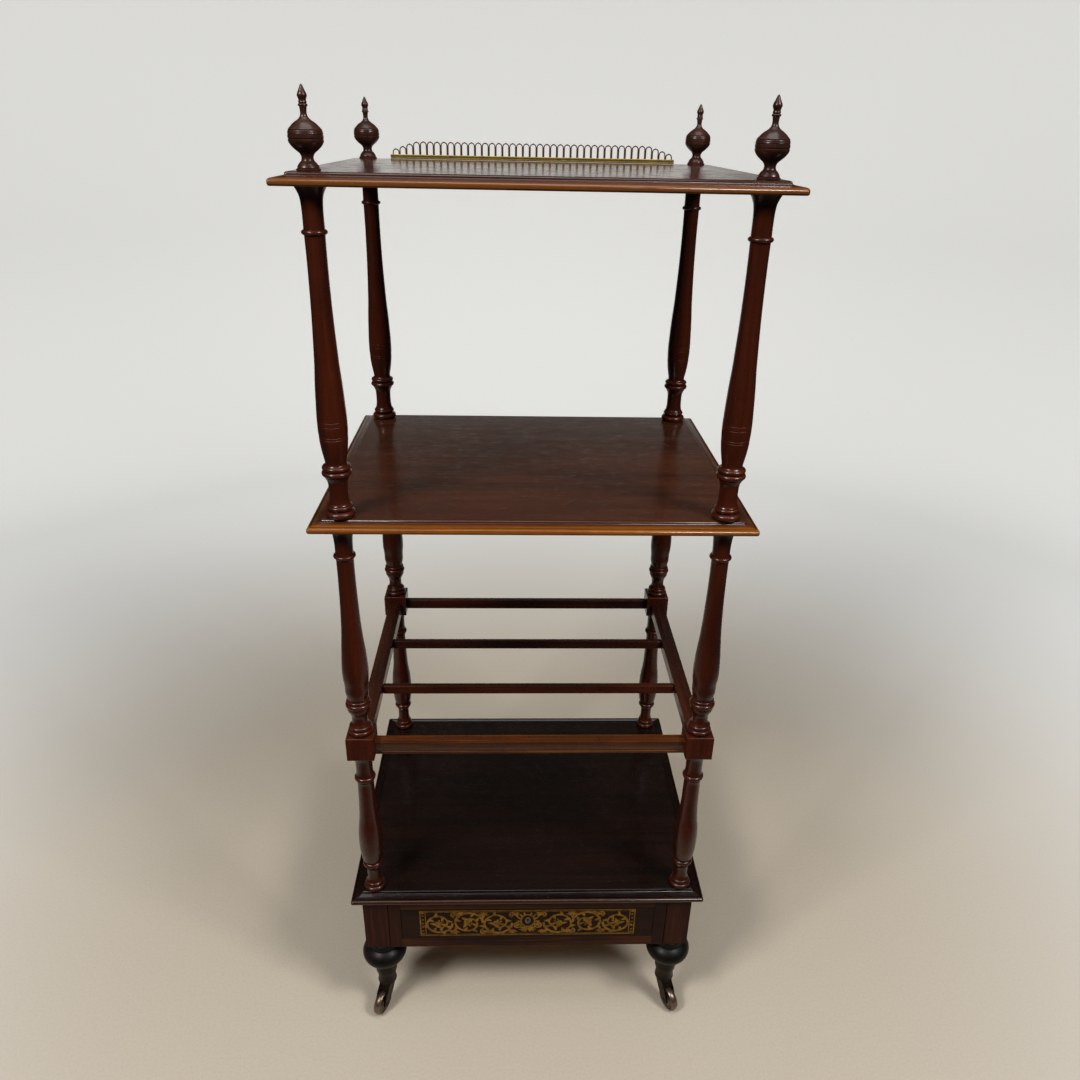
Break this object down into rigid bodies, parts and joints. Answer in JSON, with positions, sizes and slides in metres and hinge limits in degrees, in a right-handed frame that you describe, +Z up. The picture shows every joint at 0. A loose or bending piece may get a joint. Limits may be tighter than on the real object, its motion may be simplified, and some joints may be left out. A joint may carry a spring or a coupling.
{
  "type": "etagere",
  "caption": "Tall open shelving stand with turned posts and finials, moulded shelves, a slatted magazine rack, a brass gallery, an inlaid drawer case, ball feet and swivel castors.",
  "frame": {"origin": "on the floor, under the middle of the shelves", "axes": "+Z up, +X to the right seen from the front, +Y to the back; the drawer faces -Y"},
  "size_m": [0.54, 0.444, 1.35],
  "materials": {
    "mahogany": "polished red-brown mahogany with worn, lighter edges",
    "ebonised_wood": "black stained and polished wood",
    "drawer_wood": "plain waxed secondary wood",
    "brass_inlay": "aged brass scrolls in a dark ground, flush and polished",
    "gallery_brass": "dull aged brass",
    "castor_brass": "dark aged brass",
    "castor_wheel": "worn brass wheel",
    "lock_metal": "dull lock metal"
  },
  "bodies": {
    "frame": {"top_shelf": "mahogany", "middle_shelf": "mahogany", "bottom_shelf": "mahogany", "gallery": "gallery_brass", "finial_fl": "mahogany", "finial_fr": "mahogany", "finial_bl": "mahogany", "finial_br": "mahogany", "upper_post_fl": "mahogany", "upper_post_fr": "mahogany", "upper_post_bl": "mahogany", "upper_post_br": "mahogany", "lower_post_fl": "mahogany", "lower_post_fr": "mahogany", "lower_post_bl": "mahogany", "lower_post_br": "mahogany", "rack_front_rail": "mahogany", "rack_back_rail": "mahogany", "rack_side_rail_l": "mahogany", "rack_side_rail_r": "mahogany", "rack_slat_front": "mahogany", "rack_slat_back": "mahogany", "case_corner_fl": "mahogany", "case_corner_fr": "mahogany", "case_corner_bl": "mahogany", "case_corner_br": "mahogany", "case_side_l": "mahogany", "case_side_r": "mahogany", "case_back": "mahogany", "case_stile_l": "mahogany", "case_stile_r": "mahogany", "case_top_rail": "mahogany", "case_bottom_rail": "mahogany", "drawer_runner_l": "drawer_wood", "drawer_runner_r": "drawer_wood", "foot_fl": "ebonised_wood", "foot_fr": "ebonised_wood", "foot_bl": "ebonised_wood", "foot_br": "ebonised_wood", "castor_cup_fl": "castor_brass", "castor_cup_fr": "castor_brass", "castor_cup_bl": "castor_brass", "castor_cup_br": "castor_brass"},
    "drawer": {"drawer_front": "mahogany", "drawer_side_l": "drawer_wood", "drawer_side_r": "drawer_wood", "drawer_back": "drawer_wood", "drawer_bottom": "drawer_wood", "drawer_inlay": "brass_inlay", "drawer_escutcheon": "lock_metal", "drawer_lock": "lock_metal"},
    "bolt": {"lock_bolt": "lock_metal"},
    "horn_fl": {"castor_fork_fl": "castor_brass"},
    "horn_fr": {"castor_fork_fr": "castor_brass"},
    "horn_bl": {"castor_fork_bl": "castor_brass"},
    "horn_br": {"castor_fork_br": "castor_brass"},
    "wheel_fl": {"castor_wheel_fl": "castor_wheel"},
    "wheel_fr": {"castor_wheel_fr": "castor_wheel"},
    "wheel_bl": {"castor_wheel_bl": "castor_wheel"},
    "wheel_br": {"castor_wheel_br": "castor_wheel"}
  },
  "joints": [
    {"name": "drawer_slide", "type": "slide", "parent": "frame", "child": "drawer", "axis": [0, -1, 0], "range_m": [0, 0.3]},
    {"name": "lock_bolt_slide", "type": "slide", "parent": "drawer", "child": "bolt", "axis": [0, 0, 1], "range_m": [0, 0.005]},
    {"name": "castor_swivel_fl", "type": "hinge", "parent": "frame", "child": "horn_fl", "pos_m": [-0.228, -0.187, 0.065], "axis": [0, 0, 1], "continuous": true},
    {"name": "castor_swivel_fr", "type": "hinge", "parent": "frame", "child": "horn_fr", "pos_m": [0.228, -0.187, 0.065], "axis": [0, 0, 1], "continuous": true},
    {"name": "castor_swivel_bl", "type": "hinge", "parent": "frame", "child": "horn_bl", "pos_m": [-0.228, 0.187, 0.065], "axis": [0, 0, 1], "continuous": true},
    {"name": "castor_swivel_br", "type": "hinge", "parent": "frame", "child": "horn_br", "pos_m": [0.228, 0.187, 0.065], "axis": [0, 0, 1], "continuous": true},
    {"name": "wheel_spin_fl", "type": "hinge", "parent": "horn_fl", "child": "wheel_fl", "pos_m": [-0.23617, -0.20304, 0.02], "axis": [0.891, -0.454, 0], "continuous": true},
    {"name": "wheel_spin_fr", "type": "hinge", "parent": "horn_fr", "child": "wheel_fr", "pos_m": [0.23617, -0.20304, 0.02], "axis": [0.891, 0.454, 0], "continuous": true},
    {"name": "wheel_spin_bl", "type": "hinge", "parent": "horn_bl", "child": "wheel_bl", "pos_m": [-0.23617, 0.17096, 0.02], "axis": [0.891, -0.454, 0], "continuous": true},
    {"name": "wheel_spin_br", "type": "hinge", "parent": "horn_br", "child": "wheel_br", "pos_m": [0.23617, 0.17096, 0.02], "axis": [0.891, 0.454, 0], "continuous": true}
  ]
}
